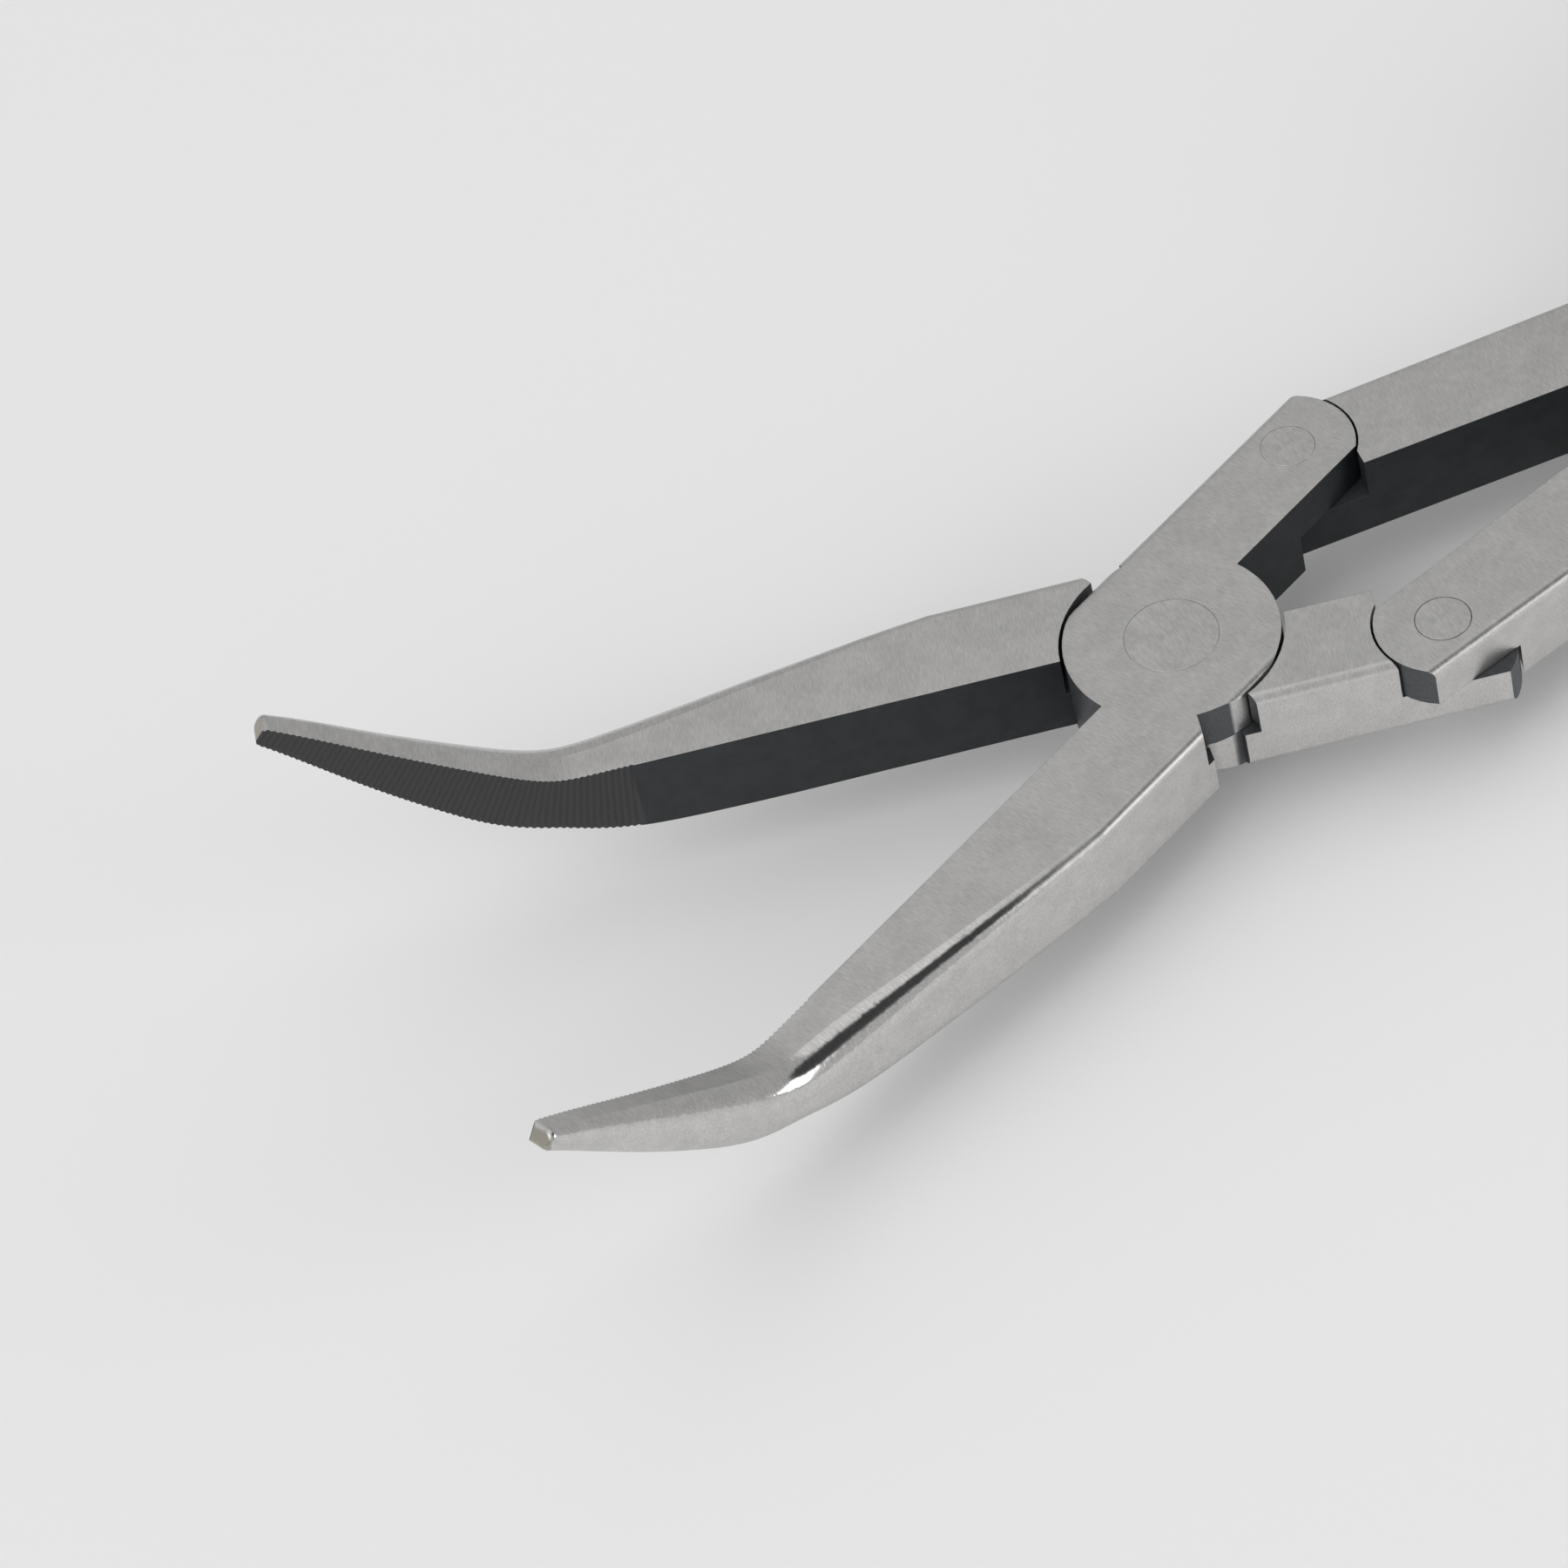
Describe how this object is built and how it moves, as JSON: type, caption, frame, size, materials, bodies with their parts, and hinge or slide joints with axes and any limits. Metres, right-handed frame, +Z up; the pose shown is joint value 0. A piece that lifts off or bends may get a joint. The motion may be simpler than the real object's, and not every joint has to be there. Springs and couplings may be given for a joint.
{
  "type": "fishing pliers",
  "caption": "Long-reach fishing pliers with a tapering bent nose, fine cross teeth, a compound double lever joint on rivets and long soft two-part grips, drawn half open.",
  "frame": {"origin": "middle of the main rivet's lower face, on the flat underside of the joint", "axes": "+X from the nose to the grips along the centre line, +Y to the right side as held with the nose pointing away, +Z up along the rivets, the side to which the nose bends"},
  "size_m": [0.3204, 0.1166, 0.0276],
  "materials": {
    "forged_steel": "ground satin flats and sides, black oxide on the unground inner faces",
    "rivet_steel": "ground flush with the joint",
    "core_plastic": "moulded, fine grain",
    "cover_rubber": "soft moulded, matt",
    "inlay_rubber": "soft moulded, matt, ribbed"
  },
  "bodies": {
    "left_jaw": {"left_jaw": "forged_steel", "main_rivet": "rivet_steel", "right_link_rivet": "rivet_steel"},
    "right_jaw": {"right_jaw": "forged_steel", "left_link_rivet": "rivet_steel"},
    "left_lever": {"left_lever": "forged_steel", "lever_rivet": "rivet_steel", "left_grip_core": "core_plastic", "left_grip_cover": "cover_rubber", "left_palm_inlay": "inlay_rubber", "left_finger_inlay": "inlay_rubber"},
    "right_lever": {"right_lever": "forged_steel", "right_grip_core": "core_plastic", "right_grip_cover": "cover_rubber", "right_palm_inlay": "inlay_rubber", "right_finger_inlay": "inlay_rubber"}
  },
  "joints": [
    {"name": "jaw_pivot", "type": "hinge", "parent": "left_jaw", "child": "right_jaw", "pos_m": [0, 0, 0.004], "axis": [0, 0, -1], "range_deg": [-38.4, 8]},
    {"name": "right_link_pivot", "type": "hinge", "parent": "left_jaw", "child": "left_lever", "pos_m": [0.01857, 0.01199, 0.004], "axis": [0, 0, -1], "range_deg": [-28.94, 6.07]},
    {"name": "left_link_pivot", "type": "hinge", "parent": "right_jaw", "child": "right_lever", "pos_m": [0.01857, -0.01199, 0.004], "axis": [0, 0, 1], "range_deg": [-28.94, 6.07]}
  ],
  "couplings": [
    {"joint": "right_link_pivot", "follows": "jaw_pivot", "ratio": 0.75245},
    {"joint": "left_link_pivot", "follows": "jaw_pivot", "ratio": 0.75245}
  ]
}
